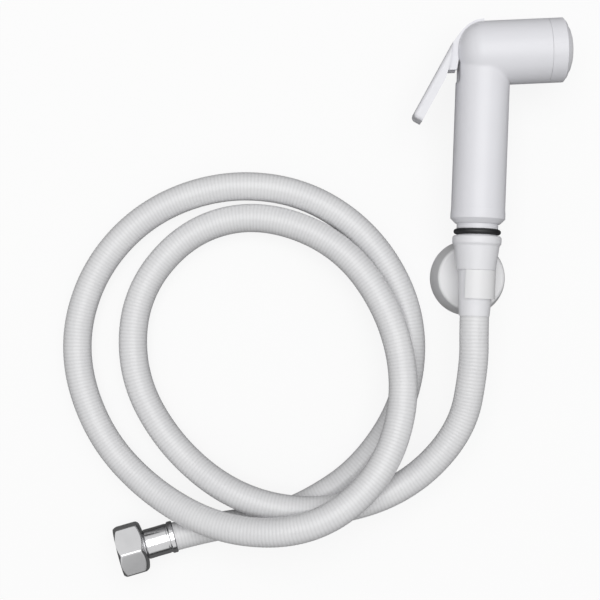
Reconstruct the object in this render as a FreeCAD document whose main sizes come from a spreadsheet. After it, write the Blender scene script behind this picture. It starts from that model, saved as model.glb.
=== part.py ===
import FreeCAD, Part
import Sketcher
import math
import os

# Handheld bidet shower lying on its back: handset in its wall holder, hose coiled beside it.
# Millimetres. Z points out of the wall, Y runs along the handle up to the head, X is the spray side.

V = FreeCAD.Vector
os.makedirs("parts", exist_ok=True)
doc = FreeCAD.newDocument("handheld_bidet_shower")
sheet = doc.addObject("Spreadsheet::Sheet", "Sizes")

SIZES = [
    # where the handset stands over the wall
    ("axis_height", 29.0), ("head_height", 110.8), ("head_tilt", 4.6),
    # hose end inside the nut, neck above it, o-ring between nut and handle
    ("hose_start", 9.6), ("tail_flange", 2.0), ("hose_washer_thickness", 2.0),
    ("neck_end", "=hose_start + tail_flange + hose_washer_thickness"),
    ("nut_grip", 6.7), ("nut_top", "=neck_end + nut_grip"),
    ("neck_radius", 10.2), ("thread_step", 0.2), ("thread_radius", "=neck_radius - thread_step"),
    ("oring_minor", 1.35), ("nut_to_oring", 0.4), ("oring_room", 0.3),
    ("oring_groove_low", "=nut_top + nut_to_oring"),
    ("oring_groove_high", "=oring_groove_low + oring_minor * 2 + oring_room"),
    ("oring_place", "=(oring_groove_low + oring_groove_high) / 2"),
    ("oring_groove_depth", 1.25), ("oring_groove_radius", "=neck_radius - oring_groove_depth"),
    ("oring_major", "=oring_groove_radius + oring_minor"),
    # handle with a small lip and a bevel at its bottom
    ("neck_gap", 2.6), ("handle_bottom", "=oring_groove_high + neck_gap"), ("handle_radius", 13.3),
    ("handle_bevel", 2.4), ("handle_lip", 0.2), ("handle_lip_height", 2.6), ("handle_lip_run", 2.0),
    ("handle_bore_radius", 5.0), ("handle_bore_top", 4.5), ("cut_over", 1.0),
    # head, along its own axis from the handle axis
    ("head_radius", 15.8), ("head_back", 13.4), ("head_back_wall", 2.6),
    ("head_back_round", "=head_radius - head_back_wall"), ("head_shoulder", 31.4),
    ("ring_gap", 0.1), ("ring_wall", 1.6), ("spigot_length", 5.2),
    ("ring_back", "=head_shoulder + ring_gap"), ("spigot_radius", "=head_radius - ring_wall"),
    ("spigot_end", "=head_shoulder + spigot_length"),
    # face ring, gasket and domed spray plate
    ("gasket_thickness", 1.0), ("gasket_front", "=spigot_end + gasket_thickness"),
    ("plate_flange", 1.4), ("ring_lip", "=gasket_front + plate_flange"),
    ("ring_lip_thickness", 1.0), ("ring_face", "=ring_lip + ring_lip_thickness"),
    ("ring_chamfer", 1.3), ("ring_chamfer_start", "=ring_face - ring_chamfer"),
    ("ring_slope", 1.6), ("ring_front_radius", "=head_radius - ring_slope"),
    ("ring_rim", 1.2), ("ring_opening", "=ring_front_radius - ring_rim"),
    ("plate_step", 0.6), ("plate_radius", "=ring_opening + plate_step"),
    ("plate_play", 0.2), ("plate_rim_radius", "=ring_opening - plate_play"),
    ("plate_shoulder", 0.4), ("plate_dome", 2.4), ("head_face", "=ring_face + plate_dome"),
    ("plate_dome_break", 0.8), ("plate_dome_radius", "=plate_rim_radius - 1.6"),
    ("plate_face_radius", "=plate_rim_radius - 3.8"), ("plate_face_rim", 0.8), ("plate_dish", 0.9),
    ("gasket_radius", "=spigot_radius - plate_play"), ("gasket_inner", "=retainer_radius - 0.6"),
    ("hole_radius", 0.45), ("hole_ring_two", "=plate_face_radius - 2.9"),
    ("hole_ring_one", "=hole_ring_two / 2"),
    ("grip_radius", 9.0), ("grip_depth", 0.6), ("grip_back", 0.6),
    # water way in the head
    ("stem_radius", 1.9), ("stem_play", 0.1), ("stem_bore", "=stem_radius + stem_play"),
    ("gland_counterbore", "=stem_radius + 1.4"), ("gland_radius", "=gland_counterbore + 0.7"),
    ("chamber_back", 5.5), ("chamber_radius", "=gland_radius + 1.5"),
    ("outlet_radius", "=spigot_radius - 3.2"), ("seat_back", 12.0), ("seat_thickness", 3.0),
    ("seat_front", "=seat_back + seat_thickness"), ("seat_radius", "=outlet_radius - 2"),
    ("port_radius", 3.6), ("seal_thickness", 1.6), ("seal_front", "=seat_front + seal_thickness"),
    ("seal_radius", "=port_radius + 1.6"), ("stem_head", 1.4),
    ("stem_head_front", "=seal_front + stem_head"), ("spring_room", 11.0),
    ("retainer_back", "=stem_head_front + spring_room"), ("retainer_radius", "=outlet_radius + 1"),
    ("nose_radius", 1.4), ("nose_reach", 3.4), ("nose_end", "=retainer_back + nose_reach"),
    ("gland_flange_radius", "=chamber_radius - stem_play"), ("gland_flange", 1.2),
    ("gland_flange_front", "=chamber_back - gland_flange"),
    ("stem_oring_minor", "=(gland_counterbore - stem_radius) / 2 - stem_play"),
    ("stem_oring_major", "=(gland_counterbore + stem_radius) / 2"),
    ("gland_counterbore_depth", "=stem_oring_minor * 2 + 0.2"),
    ("spring_radius", 3.1), ("spring_wire", 0.4), ("spring_turns", 4.5),
    ("retainer_wall", 0.8), ("retainer_floor", 2.0), ("retainer_hub", "=spring_radius + 1.5"),
    ("retainer_hub_bore", "=nose_radius + 0.2"),
    ("retainer_window_outer", "=retainer_radius - retainer_wall - 1"),
    # slot for the lever, pivot, and the stem's end that the lever pushes
    ("slot_half_width", 4.9), ("slot_wall", 3.9), ("slot_depth", "=head_back - slot_wall"),
    ("slot_low", 14.0), ("slot_floor", 7.6), ("slot_open", 14.1), ("slot_front", "=slot_open - head_back"),
    ("slot_chamfer", 2.2), ("slot_reach", 30.0),
    ("pivot_in", 9.0), ("pivot_back", "=head_back - pivot_in"), ("pivot_up", 11.2),
    ("pin_radius", 1.25), ("pin_half_length", 8.8),
    ("stem_reach", 0.8), ("stem_end", "=head_back + stem_reach"), ("lever_play", 0.3),
    # lever
    ("lever_half_width", 7.5), ("lever_wall", 1.6), ("lever_side_play", 0.3),
    ("lever_neck_half_width", "=slot_half_width - lever_side_play"), ("lever_nub_half_width", 2.6),
    ("lever_hole_play", 0.1), ("lever_hole_radius", "=pin_radius + lever_hole_play"),
    ("lever_tip_round", 2.4), ("lever_edge_round", 1.9),
    # hose and its tail
    ("hose_radius", 7.25), ("hose_bore", 4.6), ("tail_wall", 1.2), ("tail_bore", "=hose_bore - tail_wall"),
    ("tail_length", 20.0), ("tail_end", "=hose_start - tail_length"), ("tail_tip", 0.5),
    ("tail_flange_step", 1.1), ("tail_flange_radius", "=thread_radius - tail_flange_step"),
    ("washer_step", 0.4), ("washer_inner", "=tail_bore + washer_step"),
    # hose nut at the handset: collar, cone, and a slimmer taper that sits in the cup
    ("nut_play", 0.05), ("nut_flange_play", 0.1), ("nut_hose_bore", "=hose_radius + nut_play"),
    ("nut_thread_bore", "=thread_radius + nut_play"),
    ("nut_flange_bore", "=tail_flange_radius + nut_flange_play"),
    ("nut_relief", 0.3), ("nut_thread_end", "=neck_end - nut_relief"),
    ("nut_end_wall", 0.7), ("nut_end_radius", "=nut_hose_bore + nut_end_wall"),
    ("nut_taper_growth", 0.75), ("nut_seat_radius", "=nut_end_radius + nut_taper_growth"),
    ("nut_shoulder_step", 1.0), ("nut_cone_low", "=nut_seat_radius + nut_shoulder_step"),
    ("nut_cone_growth", 1.15), ("nut_cone_high", "=nut_cone_low + nut_cone_growth"),
    ("nut_collar_wall", 2.05), ("nut_collar_radius", "=nut_thread_bore + nut_collar_wall"),
    ("nut_collar_length", 7.7), ("nut_collar_low", "=nut_top - nut_collar_length"),
    ("nut_collar_bevel", 0.7), ("nut_collar_bevel_run", 1.3),
    ("nut_cone_length", 9.2), ("nut_shoulder", "=nut_collar_low - nut_cone_length"),
    ("nut_skirt", 22.8), ("nut_end", "=nut_shoulder - nut_skirt"),
    # inlet end: axis direction, ferrule, tail, swivel nut
    ("inlet_x", -145.9), ("inlet_y", -137.4), ("inlet_z", 11.4), ("inlet_turn", 197.1),
    ("inlet_rise", 8.0), ("hose_in_ferrule", 14.5), ("ferrule_wall", 0.55),
    ("ferrule_radius", "=hose_radius + ferrule_wall"), ("ferrule_bead_step", 0.35),
    ("ferrule_bead_radius", "=ferrule_radius + ferrule_bead_step"), ("ferrule_bead", 2.6),
    ("ferrule_cap", 0.7), ("ferrule_cap_step", 0.4), ("ferrule_cap_bore", "=hose_bore + ferrule_cap_step"),
    ("hex_gap", 0.2), ("hex_start", "=hose_in_ferrule + ferrule_cap + hex_gap"),
    ("hex_across_flats", 24.0), ("hex_length", 14.0), ("hex_end_wall", 1.65), ("swivel_play", 0.1),
    ("swivel_gap", 0.05), ("hex_neck_bore", "=ferrule_cap_bore + swivel_play"),
    ("hex_thread_bore", 9.3), ("hex_relief", 0.3), ("hex_relief_bore", "=hex_thread_bore + hex_relief"),
    ("inlet_flange", 2.0), ("inlet_washer", 2.0),
    ("inlet_flange_radius", "=hex_thread_bore - 0.3"), ("inlet_washer_radius", "=hex_thread_bore - 0.1"),
    ("hex_thread_start", "=hex_start + hex_end_wall + inlet_flange + inlet_washer + swivel_gap * 3"),
    ("hex_inner_chamfer_radius", "=hex_across_flats / 2 - 0.2"),
    ("hex_outer_chamfer_radius", "=hex_across_flats / 2 + 0.8"),
    # holder
    ("cup_gap", 0.05), ("cup_wall", 1.05), ("cup_length", 14.15), ("cup_high", "=nut_shoulder - cup_gap"),
    ("cup_low", "=cup_high - cup_length"), ("cup_radius", "=nut_seat_radius + cup_gap + cup_wall"),
    ("cup_slot_play", 0.55), ("cup_slot_half_width", "=hose_radius + cup_slot_play"),
    ("web_half_width", 6.0), ("web_inset", 1.0), ("web_low", "=cup_low + web_inset"),
    ("web_high", "=cup_high - web_inset"), ("web_sink", 0.3),
    ("drum_back_radius", 19.5), ("drum_taper", 2.7), ("drum_front_radius", "=drum_back_radius - drum_taper"),
    ("drum_gap", 1.9), ("drum_height", "=axis_height - nut_collar_radius - drum_gap"),
    ("drum_edge_round", 1.6), ("drum_wall", 2.2), ("drum_front_wall", 2.4),
    ("plate_thickness", 3.2), ("screw_spacing", 18.0), ("screw_hole_radius", 2.2),
]
for row, (name, value) in enumerate(SIZES, 1):
    sheet.set("A%d" % row, name)
    sheet.setAlias("B%d" % row, name)
for row, (name, value) in enumerate(SIZES, 1):
    sheet.set("B%d" % row, value if isinstance(value, str) else "%g" % value)
doc.recompute()
VALUES = {name: float(getattr(sheet, name)) for name, _ in SIZES}


class Dim:
    """A length with the expression that makes it from the size table."""

    def __init__(self, value, text):
        self.value, self.text = float(value), text

    def join(self, other, sign, value):
        other = dim(other)
        return Dim(value(self.value, other.value), "(%s %s %s)" % (self.text, sign, other.text))

    def __add__(self, other):
        return self.join(other, "+", lambda a, b: a + b)

    def __sub__(self, other):
        return self.join(other, "-", lambda a, b: a - b)

    def __mul__(self, other):
        return self.join(other, "*", lambda a, b: a * b)

    def __truediv__(self, other):
        return self.join(other, "/", lambda a, b: a / b)

    def __neg__(self):
        return Dim(0, "0") - self


def dim(value):
    return value if isinstance(value, Dim) else Dim(value, "(%.6g)" % value)


def size(name):
    return Dim(VALUES[name], "Sizes." + name)


def bind(obj, **dims):
    for prop, value in dims.items():
        value = dim(value)
        setattr(obj, prop, value.value)
        obj.setExpression(prop, value.text)


def placement(base, turn=0.0):
    """Place whose origin is base, turned about Z by the given angle."""
    return FreeCAD.Placement(V(*[dim(b).value for b in base]), FreeCAD.Rotation(V(0, 0, 1), dim(turn).value))


def put(obj, base, turn=0.0):
    obj.Placement = placement(base, turn)
    for axis, value in zip("xyz", base):
        obj.setExpression("Placement.Base." + axis, dim(value).text)
    if dim(turn).value:
        obj.setExpression("Placement.Rotation.Angle", dim(turn).text)


def on_handle(obj):
    put(obj, (0, 0, size("axis_height")))


def on_head(obj):
    put(obj, (0, size("head_height"), size("axis_height")), size("head_tilt"))


def new_body(label):
    body = doc.addObject("PartDesign::Body", label)
    body.Label = label
    return body


def origin_plane(body, name):
    return [f for f in body.Origin.OriginFeatures if f.Name.startswith(name)][0]


def new_sketch(body, name, plane="XY_Plane", offset=None):
    sketch = body.newObject("Sketcher::SketchObject", name)
    sketch.AttachmentSupport = [(origin_plane(body, plane), "")]
    sketch.MapMode = "FlatFace"
    if offset:
        sketch.AttachmentOffset = placement((0, offset[0], 0), offset[1])
        sketch.setExpression("AttachmentOffset.Base.y", offset[0].text)
        sketch.setExpression("AttachmentOffset.Rotation.Angle", offset[1].text)
    return sketch


def draw_loop(sketch, points):
    """Closed loop of straight lines, each corner held at its two coordinates."""
    points = [(dim(x), dim(y)) for x, y in points]
    first, count = sketch.GeometryCount, len(points)
    for i, (x, y) in enumerate(points):
        x2, y2 = points[(i + 1) % count]
        sketch.addGeometry(Part.LineSegment(V(x.value, y.value, 0), V(x2.value, y2.value, 0)), False)
    for i, (x, y) in enumerate(points):
        before = first + (i - 1) % count
        sketch.addConstraint(Sketcher.Constraint("Coincident", before, 2, first + i, 1))
        for kind, value, axis in (("DistanceX", x, -2), ("DistanceY", y, -1)):
            if value.value == 0 and value.text.strip("()") == "0":
                sketch.addConstraint(Sketcher.Constraint("PointOnObject", first + i, 1, axis))
                continue
            at = sketch.addConstraint(Sketcher.Constraint(kind, -1, 1, first + i, 1, value.value))
            sketch.setExpression("Constraints[%d]" % at, value.text)


def draw_circle(sketch, x, y, radius):
    x, y, radius = dim(x), dim(y), dim(radius)
    at = sketch.addGeometry(Part.Circle(V(x.value, y.value, 0), V(0, 0, 1), radius.value), False)
    c = sketch.addConstraint(Sketcher.Constraint("Radius", at, radius.value))
    sketch.setExpression("Constraints[%d]" % c, radius.text)
    for kind, value, axis in (("DistanceX", x, -2), ("DistanceY", y, -1)):
        if value.value == 0:
            sketch.addConstraint(Sketcher.Constraint("PointOnObject", at, 3, axis))
            continue
        c = sketch.addConstraint(Sketcher.Constraint(kind, -1, 1, at, 3, value.value))
        sketch.setExpression("Constraints[%d]" % c, value.text)


def turned(body, name, points, about="H_Axis", cut=False, offset=None):
    """Profile turned a full circle about the sketch's own axis, added or taken away."""
    sketch = new_sketch(body, name + "_profile", offset=offset)
    draw_loop(sketch, points)
    kind = "PartDesign::Groove" if cut else "PartDesign::Revolution"
    feature = body.newObject(kind, name)
    feature.Profile = sketch
    feature.ReferenceAxis = (sketch, [about])
    feature.Angle = 360.0
    sketch.Visibility = False
    doc.recompute()
    return feature


def pressed(body, name, sketch, width, cut=False, through=False):
    """Sketch padded or pocketed the same way to both sides of its plane."""
    kind = "PartDesign::Pocket" if cut else "PartDesign::Pad"
    feature = body.newObject(kind, name)
    feature.Profile = sketch
    if hasattr(feature, "SideType"):
        feature.SideType = "Symmetric"
    else:
        feature.Midplane = True
    if through:
        feature.Type = "ThroughAll"
    else:
        bind(feature, Length=width)
    sketch.Visibility = False
    doc.recompute()
    return feature


def rounded(body, name, base, wanted, radius):
    """Fillet on the edges of the base feature that the test picks."""
    names = ["Edge%d" % (i + 1) for i, e in enumerate(base.Shape.Edges) if wanted(e)]
    if not names:
        raise ValueError("no edge found for " + name)
    feature = body.newObject("PartDesign::Fillet", name)
    feature.Base = (base, names)
    bind(feature, Radius=radius)
    doc.recompute()
    return feature


def circle_edge(radius, centre):
    """Test for a round edge of this radius about this centre, in the body's own coordinates."""
    def wanted(edge):
        curve = edge.Curve
        return (isinstance(curve, Part.Circle) and abs(curve.Radius - radius) < 1e-4
                and (curve.Center - centre).Length < 1e-4)
    return wanted


head_tilt_turn = FreeCAD.Rotation(V(0, 0, 1), VALUES["head_tilt"])


def head_point(along, across=0.0):
    """Point on the head in the handle's coordinates."""
    return V(0, VALUES["head_height"], 0) + head_tilt_turn.multVec(V(along, across, 0))


# Handset body: head, handle and neck in one, then the water way and the lever's slot.
body = new_body("handset_body")
on_handle(body)
HEAD = (size("head_height"), size("head_tilt"))
back = -size("head_back")
head = turned(body, "head_outside", [
    (back, 0), (back, size("head_radius")), (size("head_shoulder"), size("head_radius")),
    (size("head_shoulder"), size("spigot_radius")), (size("spigot_end"), size("spigot_radius")),
    (size("spigot_end"), 0)], offset=HEAD)
head = rounded(body, "head_back_edge", head,
               circle_edge(VALUES["head_radius"], head_point(-VALUES["head_back"])), size("head_back_round"))
lip_radius = size("handle_radius") + size("handle_lip")
bevel_top = size("handle_bottom") + size("handle_bevel")
lip_top = bevel_top + size("handle_lip_height")
turned(body, "handle_outside", [
    (0, size("neck_end")), (size("thread_radius"), size("neck_end")),
    (size("thread_radius"), size("oring_groove_low")),
    (size("oring_groove_radius"), size("oring_groove_low")),
    (size("oring_groove_radius"), size("oring_groove_high")), (size("neck_radius"), size("oring_groove_high")),
    (size("neck_radius"), size("handle_bottom")),
    (lip_radius - size("handle_bevel"), size("handle_bottom")), (lip_radius, bevel_top), (lip_radius, lip_top),
    (size("handle_radius"), lip_top + size("handle_lip_run")),
    (size("handle_radius"), size("head_height")), (0, size("head_height"))], about="V_Axis")

over = size("cut_over")
turned(body, "handle_bore", [
    (0, size("neck_end") - over), (size("handle_bore_radius"), size("neck_end") - over),
    (size("handle_bore_radius"), size("head_height") - size("handle_bore_top")),
    (0, size("head_height") - size("handle_bore_top"))], about="V_Axis", cut=True)
front = size("spigot_end") + over
turned(body, "head_bores", [
    (-size("slot_depth") - over, 0), (-size("slot_depth") - over, size("gland_radius")),
    (-size("chamber_back"), size("gland_radius")), (-size("chamber_back"), size("chamber_radius")),
    (size("seat_back"), size("chamber_radius")), (size("seat_back"), size("seat_radius")),
    (size("seat_front"), size("seat_radius")), (size("seat_front"), size("outlet_radius")),
    (size("retainer_back"), size("outlet_radius")), (size("retainer_back"), size("retainer_radius")),
    (front, size("retainer_radius")), (front, 0)], cut=True, offset=HEAD)
slot = new_sketch(body, "lever_slot_outline", offset=HEAD)
reach, depth, floor = size("slot_reach"), size("slot_depth"), size("slot_floor")
draw_loop(slot, [
    (-reach, -size("slot_low")), (-depth, -size("slot_low")), (-depth, floor - size("slot_chamfer")),
    (size("slot_chamfer") - depth, floor), (size("slot_front"), floor), (size("slot_front"), reach),
    (-reach, reach)])
pressed(body, "lever_slot", slot, size("slot_half_width") * 2, cut=True)
hole = new_sketch(body, "pin_hole_outline", offset=HEAD)
draw_circle(hole, -size("pivot_back"), size("pivot_up"), size("pin_radius"))
pressed(body, "pin_hole", hole, None, cut=True, through=True)

pin = doc.addObject("Part::Cylinder", "pivot_pin")
pin.Label = "pivot_pin"
bind(pin, Radius=size("pin_radius"), Height=size("pin_half_length") * 2)
at = head_point(-VALUES["pivot_back"], VALUES["pivot_up"])
pin.Placement = FreeCAD.Placement(V(at.x, at.y, VALUES["axis_height"] - VALUES["pin_half_length"]),
                                  FreeCAD.Rotation())

# Front of the head: ring, spray plate, gasket.
ring = new_body("face_ring")
on_head(ring)
turned(ring, "ring_shape", [
    (size("ring_back"), size("spigot_radius")), (size("ring_back"), size("head_radius")),
    (size("ring_chamfer_start"), size("head_radius")), (size("ring_face"), size("ring_front_radius")),
    (size("ring_face"), size("ring_opening")), (size("ring_lip"), size("ring_opening")),
    (size("ring_lip"), size("plate_radius")), (size("gasket_front"), size("plate_radius")),
    (size("gasket_front"), size("spigot_radius"))])

plate = new_body("spray_plate")
on_head(plate)
turned(plate, "plate_shape", [
    (size("gasket_front"), 0), (size("gasket_front"), size("plate_radius")),
    (size("ring_lip"), size("plate_radius")), (size("ring_lip"), size("plate_rim_radius")),
    (size("ring_face") + size("plate_shoulder"), size("plate_rim_radius")),
    (size("head_face") - size("plate_dome_break"), size("plate_dome_radius")),
    (size("head_face"), size("plate_face_radius")),
    (size("head_face"), size("plate_face_radius") - size("plate_face_rim")),
    (size("head_face") - size("plate_dish"), size("plate_face_radius") - size("plate_face_rim") - size("plate_dish")),
    (size("head_face") - size("plate_dish"), 0)])
holes = new_sketch(plate, "spray_holes_layout", plane="YZ_Plane")
draw_circle(holes, 0, 0, size("hole_radius"))
for count, ring_radius in ((6, size("hole_ring_one")), (12, size("hole_ring_two"))):
    for i in range(count):
        a = 2 * math.pi * (i + 0.5) / count
        draw_circle(holes, ring_radius * math.cos(a), ring_radius * math.sin(a), size("hole_radius"))
pressed(plate, "spray_holes", holes, None, cut=True, through=True)

gasket = new_body("face_gasket")
on_head(gasket)
turned(gasket, "gasket_shape", [
    (size("spigot_end"), size("gasket_inner")), (size("spigot_end"), size("gasket_radius")),
    (size("gasket_front"), size("gasket_radius")), (size("gasket_front"), size("gasket_inner"))])

# Valve inside the head.
seat = new_body("valve_seat")
on_head(seat)
turned(seat, "seat_shape", [
    (size("seat_back"), size("port_radius")), (size("seat_back"), size("seat_radius")),
    (size("seat_front"), size("seat_radius")), (size("seat_front"), size("port_radius"))])

stem = new_body("valve_stem")
on_head(stem)
turned(stem, "stem_shape", [
    (-size("stem_end"), 0), (-size("stem_end"), size("stem_radius")),
    (size("seal_front"), size("stem_radius")), (size("seal_front"), size("seal_radius")),
    (size("stem_head_front"), size("seal_radius")), (size("stem_head_front"), size("nose_radius")),
    (size("nose_end"), size("nose_radius")), (size("nose_end"), 0)])

seal = new_body("valve_seal")
on_head(seal)
turned(seal, "seal_shape", [
    (size("seat_front"), size("stem_radius")), (size("seat_front"), size("seal_radius")),
    (size("seal_front"), size("seal_radius")), (size("seal_front"), size("stem_radius"))])

gland = new_body("stem_gland")
on_head(gland)
counterbore = -size("gland_flange_front") - size("gland_counterbore_depth")
turned(gland, "gland_shape", [
    (-size("slot_depth"), size("stem_bore")), (-size("slot_depth"), size("gland_radius")),
    (-size("chamber_back"), size("gland_radius")), (-size("chamber_back"), size("gland_flange_radius")),
    (-size("gland_flange_front"), size("gland_flange_radius")),
    (-size("gland_flange_front"), size("gland_counterbore")), (counterbore, size("gland_counterbore")),
    (counterbore, size("stem_bore"))])

TO_X = FreeCAD.Rotation(V(0, 1, 0), 90)
TO_Y = FreeCAD.Rotation(V(1, 0, 0), -90)


def round_ring(label, major, minor, at, turn):
    ring_object = doc.addObject("Part::Torus", label)
    ring_object.Label = label
    bind(ring_object, Radius1=major, Radius2=minor)
    ring_object.Placement = FreeCAD.Placement(at, turn)
    return ring_object


def in_row(local):
    return local + V(0, 0, VALUES["axis_height"])


ring_at = -VALUES["gland_flange_front"] - VALUES["gland_counterbore_depth"] / 2
round_ring("stem_o_ring", size("stem_oring_major"), size("stem_oring_minor"),
           in_row(head_point(ring_at)), head_tilt_turn.multiply(TO_X))
round_ring("neck_o_ring", size("oring_major"), size("oring_minor"),
           in_row(V(0, VALUES["oring_place"], 0)), TO_Y)

helix = doc.addObject("Part::Helix", "spring_line")
room = size("retainer_back") - size("stem_head_front") - size("spring_wire") * 2
bind(helix, Radius=size("spring_radius"), Height=room, Pitch=room / size("spring_turns"))
wire = doc.addObject("Part::Circle", "spring_wire_section")
bind(wire, Radius=size("spring_wire"))
rise = math.atan2(helix.Pitch.Value, 2 * math.pi * VALUES["spring_radius"])
wire.Placement = FreeCAD.Placement(V(VALUES["spring_radius"], 0, 0),
                                   FreeCAD.Rotation(V(1, 0, 0), 90 + math.degrees(rise)))
spring = doc.addObject("Part::Sweep", "return_spring")
spring.Label = "return_spring"
spring.Sections, spring.Spine = [wire], (helix, [])
spring.Solid, spring.Frenet = True, True
spring.Placement = FreeCAD.Placement(
    in_row(head_point(VALUES["stem_head_front"] + VALUES["spring_wire"])), head_tilt_turn.multiply(TO_X))

retainer = new_body("spring_retainer")
on_head(retainer)
cup_floor = size("retainer_back") + size("retainer_floor")
inner = size("retainer_radius") - size("retainer_wall")
turned(retainer, "retainer_shape", [
    (size("retainer_back"), size("retainer_hub_bore")), (size("retainer_back"), size("retainer_radius")),
    (size("spigot_end"), size("retainer_radius")), (size("spigot_end"), inner), (cup_floor, inner),
    (cup_floor, size("retainer_hub_bore"))])
windows = new_sketch(retainer, "retainer_windows_layout", plane="YZ_Plane")
middle = (size("retainer_hub") + size("retainer_window_outer")) / 2
window = (size("retainer_window_outer") - size("retainer_hub")) / 2
for i in range(6):
    a = math.pi * i / 3
    draw_circle(windows, middle * math.cos(a), middle * math.sin(a), window)
pressed(retainer, "retainer_windows", windows, None, cut=True, through=True)

# Trigger lever: a channel down the back of the head, a neck in the slot and a nub for the stem.
lever = new_body("trigger_lever")
on_head(lever)
LEVER_SIDE = [(-2.3, 5.2), (-23.9, -30.4), (-19.3, -33.2), (-8.9, -16.0), (-6.8, -12.5), (-4.9, -7.0),
              (-3.8, -2.0), (-3.0, 2.0)]
LEVER_INSIDE = [(-4.9, -4.5), (-20.2, -29.8), (-17.2, -36.0), (3.4, -10.0)]
LEVER_NECK = [(13.7, 16.4), (9.8, 15.9), (5.75, 14.0), (2.7, 11.3), (0.9, 9.2), (-2.3, 5.2), (-5.6, -0.2),
              (-3.2, -1.4), (-1.6, 2.9), (1.2, 5.6), (2.4, 6.9), (5.4, 9.5), (7.0, 8.7), (9.0, 8.0),
              (11.0, 8.7), (12.2, 11.2), (12.5, 13.2), (13.7, 14.6)]
LEVER_HEEL = [(-2.6, 4.8), (1.0, 5.2), (1.1, 2.9), (1.0, 0.0), (-0.8, -8.2), (-5.2, -8.2), (-4.4, -3.0), (-3.4, 0.0)]
LEVER_STEM_ROOM = [(-1.6, 2.9), (-3.2, -1.4), (-6.2, -8.8), (2.4, -8.8), (2.4, 6.8), (1.2, 5.6)]
NUB_FRONT = -size("stem_reach") - size("lever_play")
LEVER_NUB = [(-3.4, 2.4), (NUB_FRONT, 0.8), (NUB_FRONT, -0.8), (-3.6, -4.0), (-6.8, -2.6)]


def from_back(points):
    """Outline given from the head's back, in the head's own coordinates."""
    return [(dim(x) - size("head_back"), y) for x, y in points]


def lever_sketch(name, corners):
    sketch = new_sketch(lever, name)
    draw_loop(sketch, from_back(corners))
    return sketch


channel = pressed(lever, "lever_channel", lever_sketch("lever_side", LEVER_SIDE), size("lever_half_width") * 2)
pressed(lever, "lever_hollow", lever_sketch("lever_inside", LEVER_INSIDE),
        (size("lever_half_width") - size("lever_wall")) * 2, cut=True)
pressed(lever, "lever_neck", lever_sketch("lever_neck_side", LEVER_NECK), size("lever_neck_half_width") * 2)
pressed(lever, "lever_heel", lever_sketch("lever_heel_side", LEVER_HEEL), size("lever_neck_half_width") * 2)
pressed(lever, "lever_stem_room", lever_sketch("lever_stem_room_side", LEVER_STEM_ROOM),
        size("lever_nub_half_width") * 2, cut=True)
last = pressed(lever, "lever_nub", lever_sketch("lever_nub_side", LEVER_NUB), size("lever_nub_half_width") * 2)
outer_top, outer_tip = [V(x - VALUES["head_back"], y, 0) for x, y in LEVER_SIDE[:2]]


def tip_edge(edge):
    ends = [v.Point for v in edge.Vertexes]
    if len(ends) != 2 or abs(abs(ends[0].z - ends[1].z) - 2 * VALUES["lever_half_width"]) > 1e-3:
        return False
    return (V(ends[0].x, ends[0].y, 0) - outer_tip).Length < 1e-3


def long_edge(edge):
    """Long outer edge of the channel on either side."""
    ends = [v.Point for v in edge.Vertexes]
    if len(ends) != 2 or any(abs(abs(p.z) - VALUES["lever_half_width"]) > 1e-3 for p in ends):
        return False
    along = (outer_tip - outer_top).normalize()
    flat = [V(p.x, p.y, 0) - outer_top for p in ends]
    return edge.Length > 9 and all(f.cross(along).Length < 1e-3 for f in flat)


last = rounded(lever, "lever_tip", last, tip_edge, size("lever_tip_round"))
last = rounded(lever, "lever_edges", last, long_edge, size("lever_edge_round"))
bore = new_sketch(lever, "lever_hole_outline")
draw_circle(bore, -size("pivot_back"), size("pivot_up"), size("lever_hole_radius"))
pressed(lever, "lever_hole", bore, None, cut=True, through=True)

# Hose end at the handset: conical nut, tail, washer.
nut = new_body("cone_nut")
on_handle(nut)
collar = size("nut_collar_radius")
collar_bevel, bevel_run = size("nut_collar_bevel"), size("nut_collar_bevel_run")
turned(nut, "nut_shape", [
    (size("nut_hose_bore"), size("nut_end")), (size("nut_end_radius"), size("nut_end")),
    (size("nut_seat_radius"), size("nut_shoulder")), (size("nut_cone_low"), size("nut_shoulder")),
    (size("nut_cone_high"), size("nut_collar_low")), (collar - collar_bevel, size("nut_collar_low")),
    (collar, size("nut_collar_low") + bevel_run), (collar, size("nut_top") - bevel_run),
    (collar - collar_bevel, size("nut_top")),
    (size("nut_thread_bore"), size("nut_top")), (size("nut_thread_bore"), size("nut_thread_end")),
    (size("nut_flange_bore"), size("nut_thread_end")), (size("nut_flange_bore"), size("hose_start")),
    (size("nut_hose_bore"), size("hose_start"))], about="V_Axis")
flange_top = size("hose_start") + size("tail_flange")
tail = new_body("hose_tail")
on_handle(tail)
turned(tail, "tail_shape", [
    (size("tail_bore"), size("tail_end")), (size("hose_bore") - size("tail_tip"), size("tail_end")),
    (size("hose_bore"), size("tail_end") + size("tail_tip") * 2), (size("hose_bore"), size("hose_start")),
    (size("tail_flange_radius"), size("hose_start")), (size("tail_flange_radius"), flange_top),
    (size("tail_bore"), flange_top)], about="V_Axis")
washer = new_body("hose_washer")
on_handle(washer)
turned(washer, "washer_shape", [
    (size("washer_inner"), flange_top), (size("tail_flange_radius"), flange_top),
    (size("tail_flange_radius"), size("neck_end")), (size("washer_inner"), size("neck_end"))], about="V_Axis")

# Inlet end, with its own X along the nut's axis, away from the hose.
INLET_TURN = FreeCAD.Rotation(V(0, 0, 1), VALUES["inlet_turn"]).multiply(
    FreeCAD.Rotation(V(0, 1, 0), -VALUES["inlet_rise"]))
INLET = FreeCAD.Placement(V(VALUES["inlet_x"], VALUES["inlet_y"], VALUES["inlet_z"]), INLET_TURN)
inlet_along = INLET_TURN.multVec(V(1, 0, 0))


def on_inlet(obj):
    obj.Placement = INLET
    for axis in "xyz":
        obj.setExpression("Placement.Base." + axis, "Sizes.inlet_" + axis)


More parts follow.
